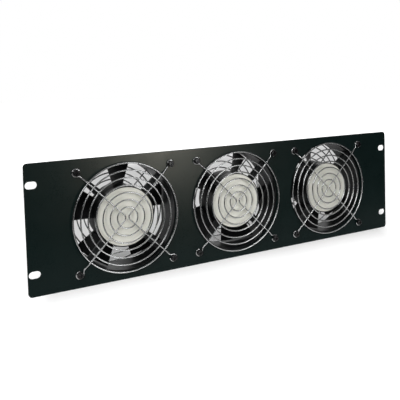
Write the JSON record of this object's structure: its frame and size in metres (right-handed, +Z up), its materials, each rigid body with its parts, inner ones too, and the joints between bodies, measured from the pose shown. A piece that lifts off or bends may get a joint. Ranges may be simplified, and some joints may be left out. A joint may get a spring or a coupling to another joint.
{
  "type": "rack fan tray",
  "caption": "Flat black rack panel with round air openings, each with an axial mains fan behind it and a chrome wire finger guard in front.",
  "frame": {"origin": "centre of the four rack slots, on the rear face of the panel that lies against the rack rails", "axes": "+X along the panel to the right as seen from the front, +Y into the rack, +Z up; the front looks towards -Y"},
  "size_m": [0.4826, 0.0484, 0.1326],
  "materials": {
    "panel_paint": "fine black powder coat, satin",
    "fan_housing": "die cast, gloss black paint",
    "label_foil": "bare satin foil, no printing",
    "terminal_moulding": "moulded",
    "tab_brass": "tinned",
    "lead_insulation": "dark grey PVC insulation",
    "bearing_steel": "ground",
    "lamination_steel": "varnished laminations",
    "winding_copper": "enamelled copper wire",
    "guard_chrome": "bright plated wire",
    "impeller_plastic": "glossy black moulding",
    "rotor_steel": "drawn cup",
    "black_screws": "blackened steel",
    "zinc_hardware": "zinc plated"
  },
  "bodies": {
    "root": {"front_panel": "panel_paint", "left_fan_frame": "fan_housing", "left_hub_label": "label_foil", "left_terminal_block": "terminal_moulding", "left_terminal_tabs": "tab_brass", "left_lead_wires": "lead_insulation", "left_bearings": "bearing_steel", "left_stator_core": "lamination_steel", "left_windings": "winding_copper", "left_front_guard": "guard_chrome", "left_rear_guard": "guard_chrome", "centre_fan_frame": "fan_housing", "centre_hub_label": "label_foil", "centre_terminal_block": "terminal_moulding", "centre_terminal_tabs": "tab_brass", "centre_lead_wires": "lead_insulation", "centre_bearings": "bearing_steel", "centre_stator_core": "lamination_steel", "centre_windings": "winding_copper", "centre_front_guard": "guard_chrome", "centre_rear_guard": "guard_chrome", "right_fan_frame": "fan_housing", "right_hub_label": "label_foil", "right_terminal_block": "terminal_moulding", "right_terminal_tabs": "tab_brass", "right_lead_wires": "lead_insulation", "right_bearings": "bearing_steel", "right_stator_core": "lamination_steel", "right_windings": "winding_copper", "right_front_guard": "guard_chrome", "right_rear_guard": "guard_chrome", "front_guard_screws": "black_screws", "front_washers": "zinc_hardware", "front_nuts": "zinc_hardware", "rear_guard_screws": "black_screws", "rear_washers": "zinc_hardware", "rear_nuts": "zinc_hardware"},
    "rotor_left": {"left_impeller": "impeller_plastic", "left_rotor_cup": "rotor_steel", "left_shaft": "bearing_steel", "left_retaining_ring": "bearing_steel"},
    "rotor_centre": {"centre_impeller": "impeller_plastic", "centre_rotor_cup": "rotor_steel", "centre_shaft": "bearing_steel", "centre_retaining_ring": "bearing_steel"},
    "rotor_right": {"right_impeller": "impeller_plastic", "right_rotor_cup": "rotor_steel", "right_shaft": "bearing_steel", "right_retaining_ring": "bearing_steel"}
  },
  "joints": [
    {"name": "left_fan_spin", "type": "hinge", "parent": "root", "child": "rotor_left", "pos_m": [-0.1375, 0.02, 0], "axis": [0, 1, 0], "continuous": true},
    {"name": "centre_fan_spin", "type": "hinge", "parent": "root", "child": "rotor_centre", "pos_m": [0, 0.02, 0], "axis": [0, 1, 0], "continuous": true},
    {"name": "right_fan_spin", "type": "hinge", "parent": "root", "child": "rotor_right", "pos_m": [0.1375, 0.02, 0], "axis": [0, 1, 0], "continuous": true}
  ]
}
